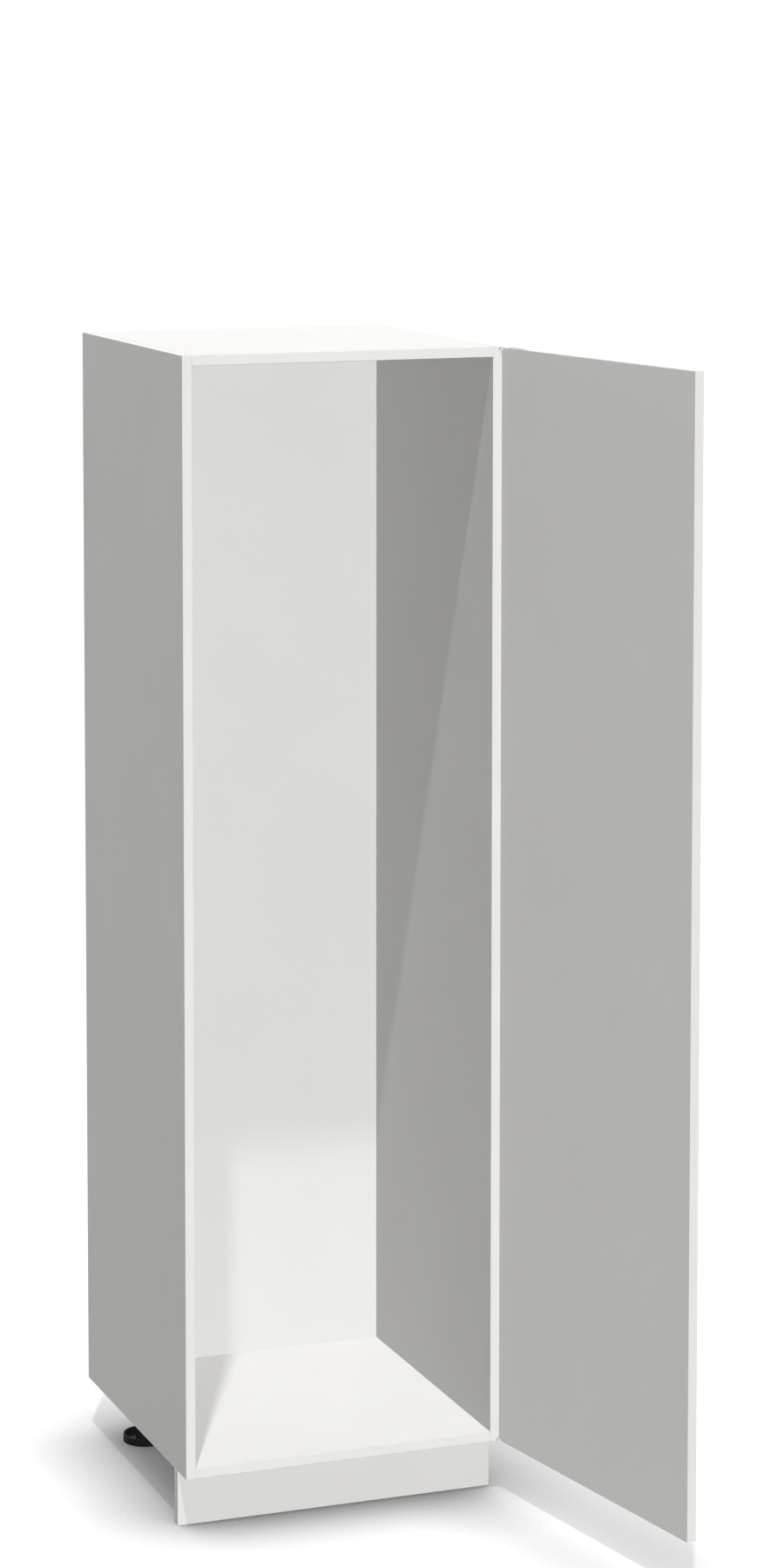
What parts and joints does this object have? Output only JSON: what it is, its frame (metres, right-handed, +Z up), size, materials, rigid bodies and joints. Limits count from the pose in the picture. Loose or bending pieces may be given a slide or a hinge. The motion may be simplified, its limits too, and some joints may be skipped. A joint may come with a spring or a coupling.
{
  "type": "tall kitchen cabinet",
  "caption": "Tall white kitchen cabinet with a full-height hinged door, open inside, on screw-adjusted feet behind a set-back plinth.",
  "frame": {"origin": "on the floor, in the middle of the cabinet's width, at the plinth's front face", "axes": "+X to the right of someone facing the cabinet, +Y from the room towards the wall, +Z up"},
  "size_m": [0.7198, 1.1887, 2.1],
  "materials": {
    "white_board": "satin",
    "white_edging": "satin",
    "white_back": "satin",
    "white_hinge": "satin",
    "pin_steel": "satin",
    "bracket_steel": "satin",
    "screw_steel": "satin",
    "cam_metal": "matte",
    "washer_brass": "satin",
    "beech": "matte",
    "leg_plastic": "matte",
    "foot_plastic": "matte",
    "clip_plastic": "matte"
  },
  "bodies": {
    "carcass": {"side_panel_left": "white_board", "side_panel_right": "white_board", "top_panel": "white_board", "bottom_panel": "white_board", "back_panel": "white_back", "side_front_band_left": "white_edging", "side_front_band_right": "white_edging", "side_end_bands_left": "white_edging", "side_end_bands_right": "white_edging", "top_front_band": "white_edging", "bottom_front_band": "white_edging", "dowels": "beech", "cam_bolts": "screw_steel", "cam_locks": "cam_metal", "wall_bracket_left": "bracket_steel", "wall_bracket_right": "bracket_steel", "wall_bracket_screws": "screw_steel", "leg_screws": "screw_steel", "carcass_leaf_screws": "screw_steel", "leg_socket_front_left": "leg_plastic", "leg_column_front_left": "leg_plastic", "leg_socket_front_right": "leg_plastic", "leg_column_front_right": "leg_plastic", "leg_socket_rear_left": "leg_plastic", "leg_column_rear_left": "leg_plastic", "leg_socket_rear_right": "leg_plastic", "leg_column_rear_right": "leg_plastic", "bottom_hinge_carcass_leaf": "white_hinge", "bottom_hinge_washer": "washer_brass", "bottom_hinge_pin": "pin_steel", "top_hinge_carcass_leaf": "white_hinge", "top_hinge_washer": "washer_brass", "top_hinge_pin": "pin_steel"},
    "door": {"door_panel": "white_board", "door_free_band": "white_edging", "door_hinge_band": "white_edging", "door_top_band": "white_edging", "door_bottom_band": "white_edging", "bottom_hinge_door_leaf": "white_hinge", "top_hinge_door_leaf": "white_hinge", "door_leaf_screws": "screw_steel"},
    "plinth": {"plinth_board": "white_board", "plinth_end_bands": "white_edging", "plinth_clip_left": "clip_plastic", "plinth_clip_right": "clip_plastic", "plinth_clip_screws": "screw_steel"},
    "foot_front_left": {"foot_front_left": "foot_plastic"},
    "foot_front_right": {"foot_front_right": "foot_plastic"},
    "foot_rear_left": {"foot_rear_left": "foot_plastic"},
    "foot_rear_right": {"foot_rear_right": "foot_plastic"}
  },
  "joints": [
    {"name": "door_hinge", "type": "hinge", "parent": "carcass", "child": "door", "pos_m": [0.2985, -0.0508, 1.1], "axis": [0, 0, 1], "range_deg": [-100, 10]},
    {"name": "plinth_pull", "type": "slide", "parent": "carcass", "child": "plinth", "axis": [0, -1, 0], "range_m": [0, 0.15]},
    {"name": "foot_front_left_screw", "type": "slide", "parent": "carcass", "child": "foot_front_left", "axis": [0, 0, -1], "range_m": [0, 0.02]},
    {"name": "foot_front_right_screw", "type": "slide", "parent": "carcass", "child": "foot_front_right", "axis": [0, 0, -1], "range_m": [0, 0.02]},
    {"name": "foot_rear_left_screw", "type": "slide", "parent": "carcass", "child": "foot_rear_left", "axis": [0, 0, -1], "range_m": [0, 0.02]},
    {"name": "foot_rear_right_screw", "type": "slide", "parent": "carcass", "child": "foot_rear_right", "axis": [0, 0, -1], "range_m": [0, 0.02]}
  ]
}
